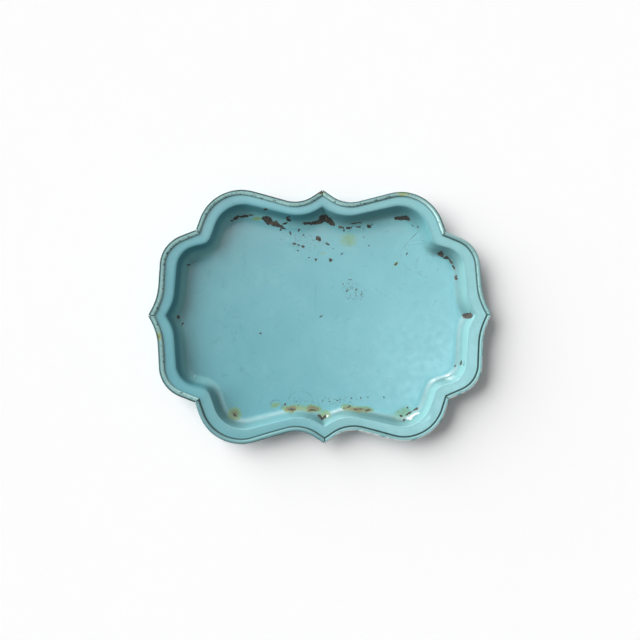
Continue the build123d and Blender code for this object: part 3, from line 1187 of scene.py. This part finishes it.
def wire_material():
    """Drawn steel wire, dull and rusted."""
    shader = Shader("rusted_wire")
    patches = shader.noise(4, detail=5, roughness=0.7)
    fine = shader.noise(0.6, detail=3)
    browned = shader.ramp(patches, *WIRE_BROWN_RAMP)
    body = shader.tint(browned, WIRE_BARE, METAL_BROWN)
    body = shader.tint(shader.ramp(patches, *WIRE_RUST_RAMP), body, RUST)
    shader.surface_input("Base Color", body)
    shader.surface_input("Metallic", shader.between(browned, *WIRE_METALLIC))
    shader.surface_input("Roughness", shader.between(fine, *WIRE_ROUGHNESS))
    shader.relief(shader.times(fine, WIRE_PITS))
    return shader.material


def stage_material():
    shader = Shader("studio_floor")
    shade = shader.tint(shader.noise(300, detail=2), STAGE_PALE, STAGE_PALER)
    shader.surface_input("Base Color", shade)
    shader.surface_input("Roughness", STAGE_ROUGHNESS)
    shader.surface_input("Specular IOR Level", 0.0)
    return shader.material


# ==== stage, lights and camera ====
STAGE_HALF = 4.0
STAGE_GAP = 0.0002  # under the tray, so that the two don't share a plane


def make_stage():
    mesh = bpy.data.meshes.new("studio_floor")
    signs = ((-1, -1), (1, -1), (1, 1), (-1, 1))
    corners = [(x * STAGE_HALF, y * STAGE_HALF, 0) for x, y in signs]
    mesh.from_pydata(corners, [], [(0, 1, 2, 3)])
    mesh.materials.append(stage_material())
    floor = bpy.data.objects.new("studio_floor", mesh)
    floor.location.z = cad_box[0][2] - STAGE_GAP
    bpy.context.scene.collection.objects.link(floor)


def towards(azimuth, elevation):
    """A direction in degrees. Azimuth is counted from +X, anticlockwise."""
    level = math.cos(math.radians(elevation))
    x, y = direction(math.radians(azimuth)) * level
    return Vector((x, y, math.sin(math.radians(elevation))))


def add_light(name, kind, strength, back):
    """A light that shines away from the direction of its back."""
    data = bpy.data.lights.new(name, kind)
    data.energy = strength
    light = bpy.data.objects.new(name, data)
    light.rotation_euler = back.to_track_quat("Z", "Y").to_euler()
    bpy.context.scene.collection.objects.link(light)
    return light


def sun(name, azimuth, elevation, strength, spread):
    """A distant soft light."""
    light = add_light(name, "SUN", strength, towards(azimuth, elevation))
    light.data.angle = math.radians(spread)


SHEEN_AIM = Vector((0.1, 0.0, 0.0))
SHEEN_DISTANCE = 1.6
WORLD_STRENGTH = 0.25


def sheen_card(name, azimuth, elevation, power, size, tint):
    """A round card that the gloss of the paint reflects, and that lights nothing else."""
    place = towards(azimuth, elevation) * SHEEN_DISTANCE
    light = add_light(name, "AREA", power, place - SHEEN_AIM)
    light.location = place
    light.visible_diffuse = False
    light.data.shape = "DISK"
    light.data.size = size
    light.data.color = tint


def make_lights():
    sun("soft_window", azimuth=152, elevation=20, strength=6.7, spread=68)
    sheen_card("cool_card", azimuth=-18, elevation=64, power=32, size=0.6, tint=(0.64, 0.93, 0.97))
    sheen_card("far_card", azimuth=40, elevation=56, power=10, size=0.6, tint=(0.6, 1.0, 0.9))
    sheen_card("window_glint", azimuth=95, elevation=40, power=62, size=0.35, tint=(1.0, 1.0, 1.0))
    world = bpy.data.worlds.new("studio")
    bpy.context.scene.world = world
    world.use_nodes = True
    background = world.node_tree.nodes["Background"]
    background.inputs["Color"].default_value = colour(1.0, 1.0, 1.0)
    background.inputs["Strength"].default_value = WORLD_STRENGTH


CAMERA_AT = Vector((-0.0525, -0.0456, 0.700))
CAMERA_AIM = Vector((-0.0043, -0.0058, 0.021))
CAMERA_ROLL = -0.415  # degrees
LENS = 32.63  # mm
SENSOR = 36.0  # mm
NEAREST = 0.01


def make_camera():
    data = bpy.data.cameras.new("camera")
    data.sensor_width = SENSOR
    data.lens = LENS
    data.clip_start = NEAREST
    camera = bpy.data.objects.new("camera", data)
    back = (CAMERA_AT - CAMERA_AIM).normalized()
    right = Vector((0, 1, 0)).cross(back).normalized()
    facing = Matrix((right, back.cross(right), back)).transposed()
    roll = Matrix.Rotation(math.radians(CAMERA_ROLL), 3, "Z")
    camera.matrix_world = Matrix.Translation(CAMERA_AT) @ (facing @ roll).to_4x4()
    bpy.context.scene.collection.objects.link(camera)
    bpy.context.scene.camera = camera


def finish_wires():
    material = wire_material()
    for name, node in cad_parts.items():
        if name.startswith("rim_wire"):
            node.data.materials.clear()
            node.data.materials.append(material)


# ==== the scene ====
bpy.context.scene.view_settings.view_transform = "Standard"
pan = make_pan()
pan.data.materials.append(paint_material())
finish_wires()
make_stage()
make_lights()
make_camera()
